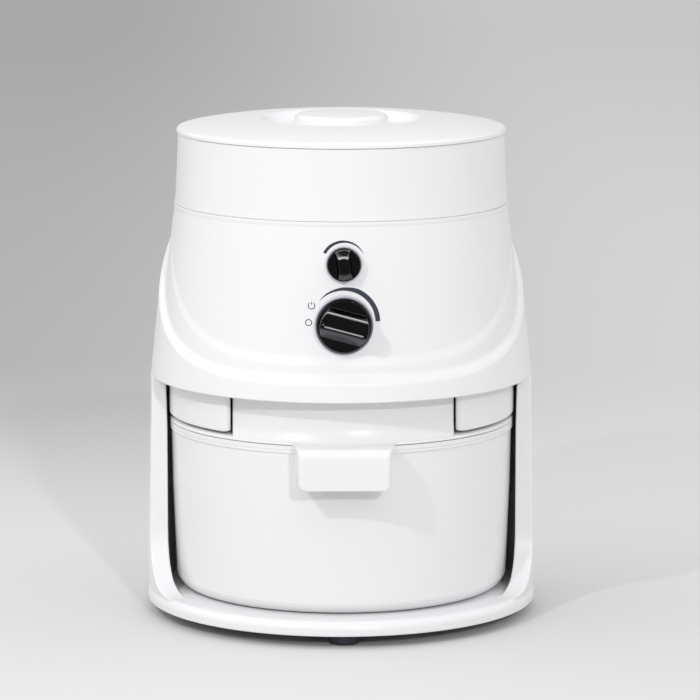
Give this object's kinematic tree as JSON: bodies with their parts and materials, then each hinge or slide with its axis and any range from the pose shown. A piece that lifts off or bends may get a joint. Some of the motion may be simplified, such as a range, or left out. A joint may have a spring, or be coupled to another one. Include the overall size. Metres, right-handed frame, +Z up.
{
  "type": "electric grain mill",
  "caption": "Countertop electric grain mill: round hopper with lid, feed and speed knobs, impact milling chamber on a vertical motor, and a pull-out flour bowl in a wrap-around frame.",
  "frame": {"origin": "centre of the mill at the height of the table, under the middle of its four feet", "axes": "+Z up; -Y is the front, where the knobs and the bowl's handle are; +X is to the right as seen from the front"},
  "size_m": [0.3, 0.314, 0.3875],
  "materials": {
    "frame_white": "gloss",
    "housing_white": "gloss",
    "ring_white": "gloss",
    "lid_white": "gloss",
    "rail_white": "gloss",
    "grille_white": "gloss",
    "bowl_white": "gloss",
    "bowl_lid_white": "gloss",
    "inner_white": "satin",
    "base_grey": "matt",
    "foot_rubber": "matt",
    "gland_grey": "matt",
    "bezel_grey": "satin",
    "collar_grey": "satin",
    "knob_black": "high gloss",
    "acetal": "satin",
    "black_plastic": "matt",
    "pcb_green": "satin",
    "seal_black": "matt",
    "seal_grey": "matt",
    "foam_grey": "open foam",
    "filter_cap_grey": "satin",
    "screw_steel": "satin",
    "shaft_steel": "ground",
    "bearing_steel": "ground",
    "milling_steel": "satin",
    "lamination": "lacquered",
    "spring_steel": "satin",
    "zinc_sheet": "zinc plated",
    "cast_aluminium": "as cast",
    "copper": "enamelled copper",
    "brass": "satin",
    "carbon": "pressed carbon"
  },
  "bodies": {
    "mill_body": {"base_frame": "frame_white", "bottom_plate": "base_grey", "rubber_feet": "foot_rubber", "foot_screws": "screw_steel", "upper_housing": "housing_white", "housing_floor": "inner_white", "left_rail": "rail_white", "right_rail": "rail_white", "housing_screws": "screw_steel", "rear_grille": "grille_white", "cord_gland": "gland_grey", "gland_nut": "gland_grey", "hopper_funnel": "inner_white", "feed_bezel": "bezel_grey", "power_switch": "black_plastic", "speed_collar": "collar_grey", "speed_pot": "black_plastic", "control_bracket": "zinc_sheet", "circuit_board": "pcb_green", "heat_sink": "cast_aluminium", "chamber_base": "cast_aluminium", "chamber_gasket": "seal_black", "stator_head": "milling_steel", "chamber_cover": "cast_aluminium", "chamber_screws": "screw_steel", "field_core": "lamination", "field_windings": "copper", "upper_bearing": "bearing_steel", "lower_bearing": "bearing_steel", "motor_end_frame": "cast_aluminium", "brush_holders": "brass", "carbon_brushes": "carbon", "brush_springs": "spring_steel", "motor_shroud": "inner_white", "motor_mounts": "seal_black", "flour_chute": "inner_white", "chute_seal": "seal_grey"},
    "bowl": {"flour_bowl": "bowl_white", "bowl_lid": "bowl_lid_white", "lid_gasket": "seal_grey", "separator_cup": "acetal", "filter_foam": "foam_grey", "filter_cap": "filter_cap_grey"},
    "hopper_ring": {"hopper_ring": "ring_white"},
    "hopper_lid": {"hopper_lid": "lid_white"},
    "speed_knob": {"speed_knob": "knob_black", "speed_shaft": "shaft_steel"},
    "feed_knob": {"feed_knob": "knob_black", "feed_shaft": "shaft_steel", "feed_pinion": "acetal"},
    "feed_gate": {"feed_gate": "acetal"},
    "rotor": {"rotor_head": "milling_steel", "rotor_nut": "screw_steel", "motor_shaft": "shaft_steel", "armature_core": "lamination", "armature_windings": "copper", "commutator": "copper", "cooling_fan": "acetal"}
  },
  "joints": [
    {"name": "bowl_slide", "type": "slide", "parent": "mill_body", "child": "bowl", "axis": [0, -1, 0], "range_m": [0, 0.3]},
    {"name": "ring_lift", "type": "slide", "parent": "mill_body", "child": "hopper_ring", "axis": [0, 0, 1], "range_m": [0, 0.12]},
    {"name": "lid_lift", "type": "slide", "parent": "hopper_ring", "child": "hopper_lid", "axis": [0, 0, 1], "range_m": [0, 0.12]},
    {"name": "speed_turn", "type": "hinge", "parent": "mill_body", "child": "speed_knob", "pos_m": [0, -0.13, 0.2878], "axis": [0, 1, 0], "range_deg": [-60, 60]},
    {"name": "feed_turn", "type": "hinge", "parent": "mill_body", "child": "feed_knob", "pos_m": [0, -0.13, 0.2429], "axis": [0, 1, 0], "range_deg": [0, 156]},
    {"name": "gate_slide", "type": "slide", "parent": "mill_body", "child": "feed_gate", "axis": [1, 0, 0], "range_m": [0, 0.03]},
    {"name": "rotor_spin", "type": "hinge", "parent": "mill_body", "child": "rotor", "pos_m": [0, 0, 0.22], "axis": [0, 0, 1], "continuous": true}
  ],
  "couplings": [
    {"joint": "gate_slide", "follows": "feed_turn", "m_per_rad": 0.011}
  ]
}
